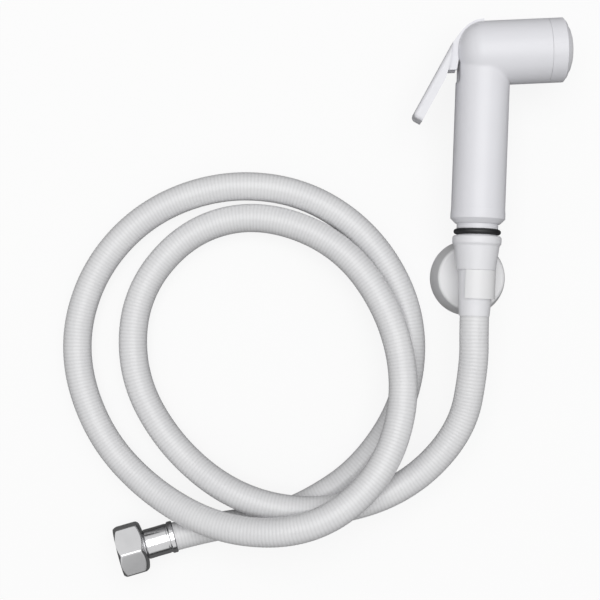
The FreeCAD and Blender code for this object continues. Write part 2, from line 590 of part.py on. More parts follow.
hose_end = size("hose_in_ferrule")
cap_end = hose_end + size("ferrule_cap")
ferrule = new_body("inlet_ferrule")
on_inlet(ferrule)
turned(ferrule, "ferrule_shape", [
    (0, size("hose_radius")), (0, size("ferrule_bead_radius")),
    (size("ferrule_bead"), size("ferrule_bead_radius")),
    (size("ferrule_bead"), size("ferrule_radius")), (cap_end, size("ferrule_radius")),
    (cap_end, size("ferrule_cap_bore")), (hose_end, size("ferrule_cap_bore")), (hose_end, size("hose_radius"))])
wall_end = size("hex_start") + size("hex_end_wall")
flange_start = wall_end + size("swivel_gap")
flange_end = flange_start + size("inlet_flange")
inlet_tail = new_body("inlet_tail")
on_inlet(inlet_tail)
turned(inlet_tail, "inlet_tail_shape", [
    (-size("tail_tip") * 2, size("tail_bore")), (-size("tail_tip") * 2, size("hose_bore") - size("tail_tip")),
    (0, size("hose_bore")), (hose_end, size("hose_bore")),
    (hose_end, size("ferrule_cap_bore")), (flange_start, size("ferrule_cap_bore")),
    (flange_start, size("inlet_flange_radius")), (flange_end, size("inlet_flange_radius")),
    (flange_end, size("tail_bore"))])
washer_start = flange_end + size("swivel_gap")
inlet_washer = new_body("inlet_washer")
on_inlet(inlet_washer)
turned(inlet_washer, "inlet_washer_shape", [
    (washer_start, size("washer_inner")), (washer_start, size("inlet_washer_radius")),
    (washer_start + size("inlet_washer"), size("inlet_washer_radius")),
    (washer_start + size("inlet_washer"), size("washer_inner"))])
hex_end = size("hex_start") + size("hex_length")
inlet_nut = new_body("inlet_nut")
on_inlet(inlet_nut)
hexagon = new_sketch(inlet_nut, "hexagon", plane="YZ_Plane")
hexagon.AttachmentOffset = FreeCAD.Placement(V(0, 0, VALUES["hex_start"]), FreeCAD.Rotation())
hexagon.setExpression("AttachmentOffset.Base.z", "Sizes.hex_start")
corner = size("hex_across_flats") / math.sqrt(3)
draw_loop(hexagon, [(corner * math.sin(math.pi * i / 3), corner * math.cos(math.pi * i / 3)) for i in range(6)])
pad = inlet_nut.newObject("PartDesign::Pad", "hex_body")
pad.Profile = hexagon
bind(pad, Length=size("hex_length"))
hexagon.Visibility = False
doc.recompute()
turned(inlet_nut, "nut_bore", [
    (size("hex_start") - over, 0), (size("hex_start") - over, size("hex_neck_bore")),
    (wall_end, size("hex_neck_bore")), (wall_end, size("hex_relief_bore")),
    (size("hex_thread_start"), size("hex_relief_bore")), (size("hex_thread_start"), size("hex_thread_bore")),
    (hex_end + over, size("hex_thread_bore")), (hex_end + over, 0)], cut=True)
wide = size("hex_across_flats")
turned(inlet_nut, "inner_corner_chamfer", [
    (size("hex_start") - over, size("hex_inner_chamfer_radius") - over), (size("hex_start") - over, wide),
    (size("hex_start") + wide - size("hex_inner_chamfer_radius"), wide)], cut=True)
turned(inlet_nut, "outer_corner_chamfer", [
    (hex_end + over, size("hex_outer_chamfer_radius") - over), (hex_end + over, wide),
    (hex_end - wide + size("hex_outer_chamfer_radius"), wide)], cut=True)

# Hose: straight runs joined by tangent arcs between the points below.
BEND_BEFORE_INLET = 14.0
INLET_BEND = INLET.Base - inlet_along * BEND_BEFORE_INLET
HOSE_END = INLET.Base + inlet_along * VALUES["hose_in_ferrule"]
ROUTE = [
    (0, VALUES["hose_start"], VALUES["axis_height"]), (0, -24.0, VALUES["axis_height"]),
    (1.0, -44.0, 28.6), (-3.2, -78.0, 23.5), (-31.3, -109.0, 20.6), (-73.8, -122.0, 23.6), (-114.8, -116.5, 19.0),
    (-149.8, -92.5, 8.5), (-171.8, -56.5, 7.4), (-171.3, -14.5, 7.4), (-145.6, 18.8, 7.4),
    (-108.6, 29.6, 8.2), (-66.3, 14.8, 14.2), (-39.8, -20.0, 19.8), (-30.8, -61.0, 24.0),
    (-43.1, -100.6, 34.6), (-74.9, -126.8, 40.2), (-116.8, -131.3, 31.0), (-155.8, -117.5, 14.0),
    (-187.3, -88.5, 7.4), (-202.6, -46.5, 7.4), (-194.6, -5.2, 7.4), (-167.7, 27.5, 7.4),
    (-127.9, 44.0, 7.4), (-85.3, 41.0, 7.4), (-49.8, 18.0, 7.4), (-28.3, -19.8, 7.4),
    (-28.8, -62.0, 7.4), (-50.3, -99.5, 7.4), (-81.3, -121.5, 7.4), (-104.8, -128.8, 7.4),
    tuple(INLET_BEND), tuple(HOSE_END),
]
ARC_SHARE = 0.45


def hose_line(points):
    """Wire of straight runs and tangent arcs, with its arc radii."""
    points = [V(*p) for p in points]
    edges, radii, start = [], [], points[0]
    for before, here, after in zip(points, points[1:], points[2:]):
        into, out = here - before, after - here
        shorter = min(into.Length, out.Length)
        turn = into.getAngle(out)
        into.normalize()
        out.normalize()
        reach_back = ARC_SHARE * shorter
        radius = reach_back / math.tan(turn / 2)
        first, last_point = here - into * reach_back, here + out * reach_back
        inward = (out - into).normalize()
        centre = here + inward * (radius / math.cos(turn / 2))
        mid = centre - inward * radius
        edges.append(Part.LineSegment(start, first).toShape())
        edges.append(Part.Arc(first, mid, last_point).toShape())
        radii.append(radius)
        start = last_point
    edges.append(Part.LineSegment(start, points[-1]).toShape())
    return Part.Wire(edges), radii


path, arc_radii = hose_line(ROUTE)
print("hose length %.1f, arc radii %s" % (path.Length, " ".join("%.1f" % r for r in arc_radii)))
start_along = (V(*ROUTE[1]) - V(*ROUTE[0])).normalize()


def tube(radius):
    section = Part.Wire([Part.Circle(V(*ROUTE[0]), start_along, radius).toShape()])
    return path.makePipeShell([section], True, False)


hose_shape = tube(VALUES["hose_radius"]).cut(tube(VALUES["hose_bore"]))
hose = doc.addObject("Part::Feature", "hose")
hose.Label = "hose"
hose.Shape = hose_shape
hose.Placement = FreeCAD.Placement()
section_area = math.pi * (VALUES["hose_radius"] ** 2 - VALUES["hose_bore"] ** 2)
print("hose volume %.0f, section times length %.0f" % (hose.Shape.Volume, section_area * path.Length))

# Holder: drum on the wall, web and a tapered cup around the hose nut.
holder = new_body("holder")
taper = (size("nut_seat_radius") - size("nut_end_radius")) / (size("nut_shoulder") - size("nut_end"))
low_inner = size("nut_end_radius") + taper * (size("cup_low") - size("nut_end")) + size("cup_gap")
high_inner = size("nut_end_radius") + taper * (size("cup_high") - size("nut_end")) + size("cup_gap")


def cup_sketch_offset(sketch):
    sketch.AttachmentOffset = FreeCAD.Placement(V(0, 0, VALUES["axis_height"]), FreeCAD.Rotation())
    sketch.setExpression("AttachmentOffset.Base.z", "Sizes.axis_height")


def cup_turned(name, points, cut):
    sketch = new_sketch(holder, name + "_profile")
    cup_sketch_offset(sketch)
    draw_loop(sketch, points)
    feature = holder.newObject("PartDesign::Groove" if cut else "PartDesign::Revolution", name)
    feature.Profile = sketch
    feature.ReferenceAxis = (sketch, ["V_Axis"])
    feature.Angle = 360.0
    sketch.Visibility = False
    doc.recompute()
    return feature


drum_profile = holder.newObject("Sketcher::SketchObject", "drum_profile")
drum_profile.AttachmentSupport = [(origin_plane(holder, "XZ_Plane"), "")]
drum_profile.MapMode = "FlatFace"
draw_loop(drum_profile, [
    (0, 0), (size("drum_back_radius"), 0), (size("drum_front_radius"), size("drum_height")),
    (0, size("drum_height"))])
drum = holder.newObject("PartDesign::Revolution", "drum_outside")
drum.Profile = drum_profile
drum.ReferenceAxis = (drum_profile, ["V_Axis"])
drum.Angle = 360.0
drum_profile.Visibility = False
doc.recompute()
rounded(holder, "drum_front_edge", drum,
        circle_edge(VALUES["drum_front_radius"], V(0, 0, VALUES["drum_height"])), size("drum_edge_round"))
web_outline = new_sketch(holder, "web_outline")
web_base = size("drum_height") - size("drum_front_wall") / 2
web_outline.AttachmentOffset = FreeCAD.Placement(V(0, 0, web_base.value), FreeCAD.Rotation())
web_outline.setExpression("AttachmentOffset.Base.z", web_base.text)
web = size("web_half_width")
draw_loop(web_outline, [(-web, size("web_low")), (web, size("web_low")), (web, size("web_high")),
                        (-web, size("web_high"))])
web_pad = holder.newObject("PartDesign::Pad", "web")
web_pad.Profile = web_outline
bind(web_pad, Length=size("axis_height") - web_base - size("nut_end_radius"))
web_outline.Visibility = False
doc.recompute()
cup_turned("cup_outside", [
    (0, size("cup_low")), (size("cup_radius"), size("cup_low")), (size("cup_radius"), size("cup_high")),
    (0, size("cup_high"))], False)
wider = taper * over
cup_turned("cup_inside", [
    (0, size("cup_low") - over), (low_inner - wider, size("cup_low") - over),
    (high_inner + wider, size("cup_high") + over), (0, size("cup_high") + over)], True)
slot_sketch = new_sketch(holder, "cup_slot_outline", plane="YZ_Plane")
half = size("cup_slot_half_width")
draw_loop(slot_sketch, [
    (size("cup_low") - over, size("axis_height") - half), (size("cup_high") + over, size("axis_height") - half),
    (size("cup_high") + over, size("axis_height") + half), (size("cup_low") - over, size("axis_height") + half)])
slot_cut = holder.newObject("PartDesign::Pocket", "cup_slot")
slot_cut.Profile = slot_sketch
bind(slot_cut, Length=size("drum_back_radius"))
slot_sketch.Visibility = False
doc.recompute()
if slot_cut.Shape.BoundBox.XMax < VALUES["nut_collar_radius"]:
    slot_cut.Reversed = True
hollow_profile = holder.newObject("Sketcher::SketchObject", "drum_hollow_profile")
hollow_profile.AttachmentSupport = [(origin_plane(holder, "XZ_Plane"), "")]
hollow_profile.MapMode = "FlatFace"
inner_back = size("drum_back_radius") - size("drum_wall")
inner_front = size("drum_front_radius") - size("drum_wall")
draw_loop(hollow_profile, [
    (0, -over), (inner_back, -over), (inner_back, size("plate_thickness")), (inner_front, size("plate_thickness")),
    (inner_front, size("drum_height") - size("drum_front_wall")),
    (0, size("drum_height") - size("drum_front_wall"))])
hollow = holder.newObject("PartDesign::Groove", "drum_hollow")
hollow.Profile = hollow_profile
hollow.ReferenceAxis = (hollow_profile, ["V_Axis"])
hollow.Angle = 360.0
hollow_profile.Visibility = False
doc.recompute()

wall_plate = new_body("wall_plate")
outline = new_sketch(wall_plate, "wall_plate_outline")
draw_circle(outline, 0, 0, inner_back)
for side in (-1, 1):
    draw_circle(outline, 0, size("screw_spacing") * (side / 2), size("screw_hole_radius"))
plate_pad = wall_plate.newObject("PartDesign::Pad", "wall_plate_disc")
plate_pad.Profile = outline
bind(plate_pad, Length=size("plate_thickness"))
outline.Visibility = False
doc.recompute()

NODES = [
    "handset_body", "face_ring", "spray_plate", "face_gasket", "valve_seat", "spring_retainer", "stem_gland",
    "stem_o_ring", "pivot_pin", "neck_o_ring", "hose_washer", "cone_nut", "hose_tail", "hose",
    "inlet_ferrule", "inlet_tail", "wall_plate", "holder", "return_spring", "trigger_lever", "valve_stem",
    "valve_seal", "inlet_nut", "inlet_washer",
]
for obj in doc.Objects:
    bad = [s for s in obj.State if s in ("Invalid", "Error")]
    if bad:
        raise ValueError("%s is %s" % (obj.Name, bad))
for name in NODES:
    obj = [o for o in doc.Objects if o.Label == name][0]
    shape = obj.Shape
    if shape.isNull() or not shape.isValid() or len(shape.Solids) != 1:
        raise ValueError("%s: valid %s, solids %d" % (name, shape.isValid(), len(shape.Solids)))
    shape.exportStep("parts/%s.step" % name)
    box = shape.BoundBox
    print("%-16s vol %8.1f  x %7.1f %7.1f  y %7.1f %7.1f  z %6.2f %6.2f" % (
        name, shape.Volume, box.XMin, box.XMax, box.YMin, box.YMax, box.ZMin, box.ZMax))
print("written", len(NODES))
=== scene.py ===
"""Looks of the handheld bidet shower: materials, the pieces finer than their solids, camera and light.

Sizes of the object are in millimetres and become metres with MM. Camera, floor and lamp are in metres.
"""

import math

import bpy
import numpy as np
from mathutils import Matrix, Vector

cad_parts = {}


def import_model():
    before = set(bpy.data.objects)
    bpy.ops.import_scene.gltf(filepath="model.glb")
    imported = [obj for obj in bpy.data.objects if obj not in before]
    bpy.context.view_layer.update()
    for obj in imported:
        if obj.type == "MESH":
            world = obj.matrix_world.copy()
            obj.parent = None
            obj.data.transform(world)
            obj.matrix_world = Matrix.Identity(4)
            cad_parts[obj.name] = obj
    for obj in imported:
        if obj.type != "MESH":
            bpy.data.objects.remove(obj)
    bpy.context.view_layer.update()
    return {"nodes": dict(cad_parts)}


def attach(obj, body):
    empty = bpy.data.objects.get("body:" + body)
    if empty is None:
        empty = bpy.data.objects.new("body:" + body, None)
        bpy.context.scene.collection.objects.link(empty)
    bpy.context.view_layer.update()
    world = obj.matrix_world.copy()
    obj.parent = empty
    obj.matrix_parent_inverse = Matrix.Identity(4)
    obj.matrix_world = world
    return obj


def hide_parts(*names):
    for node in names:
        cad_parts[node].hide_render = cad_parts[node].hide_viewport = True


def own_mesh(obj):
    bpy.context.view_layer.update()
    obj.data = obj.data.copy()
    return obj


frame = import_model()
nodes = frame["nodes"]
MM = 0.001

# Camera of the photograph: straight down on the object, its up direction near the handle's.
CAMERA_PLACE = (-0.08652, -0.01465, 0.620)
CAMERA_ROLL = 2.1
CAMERA_LENS = 71.54
SENSOR = 36.0

camera_data = bpy.data.cameras.new("camera")
camera_data.lens = CAMERA_LENS
camera_data.sensor_width = SENSOR
camera_data.clip_start = 0.01
camera_data.clip_end = 50.0
camera = bpy.data.objects.new("camera", camera_data)
camera.location = CAMERA_PLACE
camera.rotation_euler = (0.0, 0.0, math.radians(CAMERA_ROLL))
bpy.context.scene.collection.objects.link(camera)
bpy.context.scene.camera = camera
bpy.context.scene.view_settings.view_transform = "Standard"


def new_material(name):
    """A new material with its node tree and its main shader."""
    material = bpy.data.materials.new(name)
    material.use_nodes = True
    tree = material.node_tree
    shader = tree.nodes["Principled BSDF"]
    return material, tree, shader


def object_noise(tree, scale, detail=3.0, roughness=0.5):
    """Noise laid out in the piece's own coordinates."""
    place = tree.nodes.new("ShaderNodeTexCoord")
    noise = tree.nodes.new("ShaderNodeTexNoise")
    noise.inputs["Scale"].default_value = scale
    noise.inputs["Detail"].default_value = detail
    noise.inputs["Roughness"].default_value = roughness
    tree.links.new(place.outputs["Object"], noise.inputs["Vector"])
    return noise


def ramp(tree, source, low, high, start=0.3, end=0.7):
    """Colour ramp between two colours, driven by a value."""
    node = tree.nodes.new("ShaderNodeValToRGB")
    node.color_ramp.elements[0].position = start
    node.color_ramp.elements[1].position = end
    node.color_ramp.elements[0].color = (*low, 1.0)
    node.color_ramp.elements[1].color = (*high, 1.0)
    tree.links.new(source, node.inputs["Fac"])
    return node


NOISE_LOW, NOISE_HIGH = 0.25, 0.75


def spread(tree, source, low, high, start=NOISE_LOW, end=NOISE_HIGH):
    """A value that goes from low to high while its source goes from start to end."""
    node = tree.nodes.new("ShaderNodeMapRange")
    node.inputs["From Min"].default_value = start
    node.inputs["From Max"].default_value = end
    node.inputs["To Min"].default_value = low
    node.inputs["To Max"].default_value = high
    tree.links.new(source, node.inputs["Value"])
    return node


def bump(tree, source, strength, distance):
    """Fine relief, distance metres high, driven by a value."""
    node = tree.nodes.new("ShaderNodeBump")
    node.inputs["Strength"].default_value = strength
    node.inputs["Distance"].default_value = distance
    tree.links.new(source, node.inputs["Height"])
    return node


# The handle runs into the head in a soft knee: shading rounds the crease there, and other edges much less.
KNEE = (0.0, 96.0, 29.0)
KNEE_ROUND, CREASE_ROUND = 2.6, 0.2
KNEE_NEAR, KNEE_FAR = 18.0, 22.0
KNEE_SAMPLES = 8


def soft_knee(tree):
    """Surface direction, rounded near the knee of the handset."""
    place = tree.nodes.new("ShaderNodeTexCoord")
    away = tree.nodes.new("ShaderNodeVectorMath")
    away.operation = "DISTANCE"
    away.inputs[1].default_value = tuple(c * MM for c in KNEE)
    tree.links.new(place.outputs["Object"], away.inputs[0])
    reach = spread(tree, away.outputs["Value"], KNEE_ROUND * MM, CREASE_ROUND * MM,
                   start=KNEE_NEAR * MM, end=KNEE_FAR * MM)
    rounded = tree.nodes.new("ShaderNodeBevel")
    rounded.samples = KNEE_SAMPLES
    tree.links.new(reach.outputs["Result"], rounded.inputs["Radius"])
    return rounded.outputs["Normal"]


PLASTIC_IOR = 1.5


def moulded_plastic(name, colour, rough=(0.32, 0.42), tint=0.02, knee=False):
    """Moulded plastic: faint cloudiness in the colour, uneven gloss, a very fine skin."""
    material, tree, shader = new_material(name)
    cloud = object_noise(tree, scale=38.0, detail=4.0)
    dull = tuple(c * (1.0 - tint) for c in colour)
    tone = ramp(tree, cloud.outputs["Fac"], dull, colour)
    tree.links.new(tone.outputs["Color"], shader.inputs["Base Color"])
    patches = object_noise(tree, scale=160.0, detail=5.0, roughness=0.6)
    gloss = spread(tree, patches.outputs["Fac"], *rough)
    tree.links.new(gloss.outputs["Result"], shader.inputs["Roughness"])
    shader.inputs["IOR"].default_value = PLASTIC_IOR
    skin = object_noise(tree, scale=1400.0, detail=2.0)
    relief = bump(tree, skin.outputs["Fac"], strength=0.12, distance=0.08 * MM)
    if knee:
        tree.links.new(soft_knee(tree), relief.inputs["Normal"])
    tree.links.new(relief.outputs["Normal"], shader.inputs["Normal"])
    return material


def metal(name, colour, rough, grain_scale=900.0, strength=0.08, tint=0.07):
    """Metal with uneven polish and fine marks."""
    material, tree, shader = new_material(name)
    shader.inputs["Metallic"].default_value = 1.0
    cloud = object_noise(tree, scale=120.0, detail=4.0)
    dull = tuple(c * (1.0 - tint) for c in colour)
    tone = ramp(tree, cloud.outputs["Fac"], dull, colour)
    tree.links.new(tone.outputs["Color"], shader.inputs["Base Color"])
    wear = object_noise(tree, scale=420.0, detail=6.0, roughness=0.65)
    gloss = spread(tree, wear.outputs["Fac"], *rough)
    tree.links.new(gloss.outputs["Result"], shader.inputs["Roughness"])
    grain = object_noise(tree, grain_scale)
    relief = bump(tree, grain.outputs["Fac"], strength, distance=0.05 * MM)
    tree.links.new(relief.outputs["Normal"], shader.inputs["Normal"])
    return material


def rubber(name, colour, worn, rough=(0.38, 0.55)):
    """Rubber with a little bloom, dull and finely grained."""
    material, tree, shader = new_material(name)
    cloud = object_noise(tree, scale=260.0, detail=5.0)
    tone = ramp(tree, cloud.outputs["Fac"], colour, worn)
    tree.links.new(tone.outputs["Color"], shader.inputs["Base Color"])
    gloss = spread(tree, cloud.outputs["Fac"], *rough)
    tree.links.new(gloss.outputs["Result"], shader.inputs["Roughness"])
    grain = object_noise(tree, scale=2200.0)
    relief = bump(tree, grain.outputs["Fac"], strength=0.2, distance=0.06 * MM)
    tree.links.new(relief.outputs["Normal"], shader.inputs["Normal"])
    return material


ABS_WHITE = (0.79, 0.79, 0.825)
WHITE_ABS = moulded_plastic("white_abs", ABS_WHITE)
BODY_ABS = moulded_plastic("white_abs_body", ABS_WHITE, knee=True)
HOLDER_ABS = moulded_plastic("white_abs_holder", (0.84, 0.84, 0.85), (0.34, 0.46))
NUT_ABS = moulded_plastic("white_abs_nut", (0.82, 0.82, 0.845), (0.34, 0.44))
NYLON = moulded_plastic("grey_nylon", (0.52, 0.52, 0.53), (0.42, 0.52), 0.05)
BLACK_RUBBER = rubber("black_rubber", (0.006, 0.006, 0.007), (0.0136, 0.0136, 0.0152))
CHROME = metal("chrome", (0.74, 0.74, 0.75), (0.10, 0.20))
BRASS = metal("brass", (0.76, 0.58, 0.30), (0.25, 0.38), 700.0, 0.12)
STEEL = metal("steel", (0.58, 0.58, 0.60), (0.22, 0.34), 800.0, 0.10)

RIB_VALLEY, RIB_TOP = (0.72, 0.72, 0.725), (0.79, 0.79, 0.80)
HOSE_VEIL = (0.955, 0.955, 0.96)
WHITE = (1.0, 1.0, 1.0)


def hose_skin():
    """Soft plastic hose: slightly grey between its ribs, smooth and satin on top of them."""
    material, tree, shader = new_material("hose_pvc")
    rib = tree.nodes.new("ShaderNodeAttribute")
    rib.attribute_name = "rib"
    cloud = object_noise(tree, scale=60.0, detail=4.0)
    tone = ramp(tree, rib.outputs["Fac"], RIB_VALLEY, RIB_TOP, 0.0, 1.0)
    shade = tree.nodes.new("ShaderNodeMix")
    shade.data_type = "RGBA"
    shade.blend_type = "MULTIPLY"
    shade.inputs["Factor"].default_value = 1.0
    veil = ramp(tree, cloud.outputs["Fac"], HOSE_VEIL, WHITE)
    tree.links.new(tone.outputs["Color"], shade.inputs["A"])
    tree.links.new(veil.outputs["Color"], shade.inputs["B"])
    tree.links.new(shade.outputs["Result"], shader.inputs["Base Color"])
    patches = object_noise(tree, scale=240.0, detail=5.0, roughness=0.6)
    gloss = spread(tree, patches.outputs["Fac"], 0.24, 0.36)
    tree.links.new(gloss.outputs["Result"], shader.inputs["Roughness"])
    skin = object_noise(tree, scale=1600.0, detail=2.0)
    relief = bump(tree, skin.outputs["Fac"], strength=0.1, distance=0.06 * MM)
    tree.links.new(relief.outputs["Normal"], shader.inputs["Normal"])
    return material


HOSE_PVC = hose_skin()

MATERIAL_OF = {
    "handset_body": BODY_ABS, "face_ring": WHITE_ABS, "trigger_lever": WHITE_ABS, "pivot_pin": WHITE_ABS,
    "spray_plate": NUT_ABS, "cone_nut": NUT_ABS, "holder": HOLDER_ABS, "wall_plate": HOLDER_ABS,
    "valve_seat": NYLON, "spring_retainer": NYLON, "stem_gland": NYLON, "face_gasket": BLACK_RUBBER,
    "stem_o_ring": BLACK_RUBBER, "valve_seal": BLACK_RUBBER, "neck_o_ring": BLACK_RUBBER,
    "hose_washer": BLACK_RUBBER, "inlet_washer": BLACK_RUBBER, "valve_stem": BRASS, "hose_tail": BRASS,
    "inlet_tail": BRASS, "return_spring": STEEL, "inlet_ferrule": CHROME, "inlet_nut": CHROME,
    "hose": HOSE_PVC,
}
for name, node in nodes.items():
    node.data.materials.clear()
    node.data.materials.append(MATERIAL_OF[name])

# The hose: one smooth line, and a ribbed tube that follows it.
HOSE_POINTS = [
    (0, 9.6, 29), (0, -24, 29), (1, -44, 28.6), (-3.2, -78, 23.5), (-31.3, -109, 20.6), (-73.8, -122, 23.6),
    (-114.8, -116.5, 19), (-149.8, -92.5, 8.5), (-171.8, -56.5, 7.4), (-171.3, -14.5, 7.4),
    (-145.6, 18.8, 7.4), (-108.6, 29.6, 8.2), (-66.3, 14.8, 14.2), (-39.8, -20, 19.8), (-30.8, -61, 24),
    (-43.1, -100.6, 34.6), (-74.9, -126.8, 40.2), (-116.8, -131.3, 31), (-155.8, -117.5, 14),
    (-187.3, -88.5, 7.4), (-202.6, -46.5, 7.4), (-194.6, -5.2, 7.4), (-167.7, 27.5, 7.4),
    (-127.9, 44, 7.4), (-85.3, 41, 7.4), (-49.8, 18, 7.4), (-28.3, -19.8, 7.4), (-28.8, -62, 7.4),
    (-50.3, -99.5, 7.4), (-81.3, -121.5, 7.4), (-104.8, -128.8, 7.4), (-132.65, -133.32, 9.45),
    (-159.62, -141.62, 13.42),
]
HOSE_RADIUS = 7.25 * MM
RIB_PITCH = 1.8 * MM
RIB_DEPTH = 0.09 * MM
RIB_SWELL = 0.65
SAMPLES_PER_RIB = 5
HOSE_SIDES = 28
LINE_STEPS = 40


def hose_line():
    """Points of the smooth line through the hose's route, close together."""
    data = bpy.data.curves.new("hose_line", "CURVE")
    data.dimensions = "3D"
    data.resolution_u = LINE_STEPS
    spline = data.splines.new("NURBS")
    spline.points.add(len(HOSE_POINTS) - 1)
    for point, place in zip(spline.points, HOSE_POINTS):
        point.co = (*[c * MM for c in place], 1.0)
    spline.order_u = 3
    spline.use_endpoint_u = True
    line = bpy.data.objects.new("hose_line", data)
    bpy.context.scene.collection.objects.link(line)
    bpy.context.view_layer.update()
    mesh = bpy.data.meshes.new_from_object(line)
    found = np.array([v.co[:] for v in mesh.vertices])
    bpy.data.objects.remove(line)
    bpy.data.meshes.remove(mesh)
    return found


def even_points(points, step):
    """The same line with its points an even step apart, and its length."""
    gaps = np.linalg.norm(np.diff(points, axis=0), axis=1)
    along = np.concatenate([[0.0], np.cumsum(gaps)])
    count = int(round(along[-1] / step))
    wanted = np.linspace(0.0, along[-1], count + 1)
    return np.stack([np.interp(wanted, along, points[:, i]) for i in range(3)], axis=1), along[-1]


def across_line(points):
    """Two directions across the line at each point, which don't twist along it."""
    ahead = np.gradient(points, axis=0)
    ahead /= np.linalg.norm(ahead, axis=1)[:, None]
    side = np.cross(ahead[0], (0.0, 0.0, 1.0))
    side /= np.linalg.norm(side)
    sides = []
    for direction in ahead:
        side = side - direction * np.dot(side, direction)
        side /= np.linalg.norm(side)
        sides.append(side)
    sides = np.array(sides)
    return sides, np.cross(ahead, sides)


def mesh_object(name, verts, faces, material):
    """A smooth-shaded piece of one material."""
    mesh = bpy.data.meshes.new(name)
    mesh.from_pydata([tuple(v) for v in verts], [], faces)
    mesh.update()
    mesh.polygons.foreach_set("use_smooth", [True] * len(mesh.polygons))
    mesh.materials.append(material)
    obj = bpy.data.objects.new(name, mesh)
    bpy.context.scene.collection.objects.link(obj)
    return obj


def ring_faces(rings, sides):
    """Four-sided faces between rings of points that follow each other."""
    faces = []
    for i in range(rings - 1):
        a, b = i * sides, (i + 1) * sides
        for j in range(sides):
            k = (j + 1) % sides
            faces.append((a + j, a + k, b + k, b + j))
    return faces


hose_points, hose_length = even_points(hose_line(), RIB_PITCH / SAMPLES_PER_RIB)
hose_side, hose_up = across_line(hose_points)
turn = np.linspace(0.0, 2 * math.pi, HOSE_SIDES, endpoint=False)
travelled = np.linspace(0.0, hose_length, len(hose_points))
rib = np.clip(RIB_SWELL + RIB_SWELL * np.cos(2 * math.pi * travelled / RIB_PITCH), 0.0, 1.0)
radius = HOSE_RADIUS - RIB_DEPTH * (1.0 - rib)
across = (hose_side[:, None, :] * np.cos(turn)[None, :, None]
          + hose_up[:, None, :] * np.sin(turn)[None, :, None])
skin = hose_points[:, None, :] + across * radius[:, None, None]
hose = mesh_object("ribbed_hose", skin.reshape(-1, 3), ring_faces(len(hose_points), HOSE_SIDES), HOSE_PVC)
attribute = hose.data.attributes.new("rib", "FLOAT", "POINT")
attribute.data.foreach_set("value", np.repeat(rib, HOSE_SIDES))
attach(hose, "shower")
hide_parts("hose")

# Chrome end of the hose: crimped ferrule and threaded swivel nut, on an axis that rises off the table.
INLET_BASE = Vector((-145.9, -137.4, 11.4)) * MM
RISE, TURN = math.radians(8.0), math.radians(197.1)
INLET_ALONG = Vector((math.cos(RISE) * math.cos(TURN), math.cos(RISE) * math.sin(TURN), math.sin(RISE)))
INLET_SIDE = Vector((-math.sin(TURN), math.cos(TURN), 0.0))
INLET_AXIS = (INLET_BASE, INLET_ALONG, INLET_SIDE)
HANDLE_AXIS = (Vector((0.0, 0.0, 29.0)) * MM, Vector((0.0, 1.0, 0.0)), Vector((1.0, 0.0, 0.0)))


def turned_grid(name, rows, turns, material, axis):
    """Closed skin round an axis: rows of (distance along, radius for each turn), joined end to end."""
    base, ahead, side = axis
    up = ahead.cross(side)
    verts = []
    for along, radii in rows:
        for angle, radius in zip(turns, np.broadcast_to(radii, turns.shape)):
            across = side * math.cos(angle) + up * math.sin(angle)
            verts.append(base + ahead * (along * MM) + across * (float(radius) * MM))
    faces = ring_faces(len(rows), len(turns))
    last = (len(rows) - 1) * len(turns)
    for j in range(len(turns)):
        k = (j + 1) % len(turns)
        faces.append((last + j, last + k, k, j))
    return mesh_object(name, verts, faces, material)


EDGE_STEP = 0.06


def eased(profile):
    """A profile with a point close to each side of its corners, so that smooth shading keeps them short."""
    out = []
    for (x1, r1), (x2, r2) in zip(profile, profile[1:]):
        length = math.hypot(x2 - x1, r2 - r1)
        edge = min(EDGE_STEP, length / 3)
        for t in (0.0, edge / length, 1.0 - edge / length):
            out.append((x1 + (x2 - x1) * t, r1 + (r2 - r1) * t))
    out.append(profile[-1])
    return out


# Profiles are points of distance along the axis and radius, outside first and back through the bore.
RING_SIDES = 96
ring_turns = np.linspace(0.0, 2 * math.pi, RING_SIDES, endpoint=False)
FERRULE_PROFILE = [
    (0.0, 7.3), (0.05, 7.8), (0.45, 8.1), (2.3, 8.1), (2.75, 7.8), (3.0, 7.38), (3.6, 7.38), (4.0, 7.55),
    (9.0, 7.48), (14.6, 7.55), (15.15, 7.3), (15.36, 6.9), (15.36, 5.05), (14.5, 5.05), (14.5, 7.3)]
ferrule = turned_grid("crimped_ferrule", eased(FERRULE_PROFILE), ring_turns, CHROME, INLET_AXIS)
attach(ferrule, "shower")
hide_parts("inlet_ferrule")

HEX_START, HEX_LENGTH, HEX_HALF = 15.4, 14.0, 12.0
HEX_END = HEX_START + HEX_LENGTH
HEX_SIDES = 240
CORNER_POWER, CHAMFER_POWER = 90, -60.0
hex_turns = np.linspace(0.0, 2 * math.pi, HEX_SIDES, endpoint=False)
flat_turns = [math.radians(60 * i) for i in range(6)]
facing = np.array([np.clip(np.cos(hex_turns - t), 0.0, None) ** CORNER_POWER for t in flat_turns])
hex_radius = HEX_HALF / facing.sum(axis=0) ** (1.0 / CORNER_POWER)

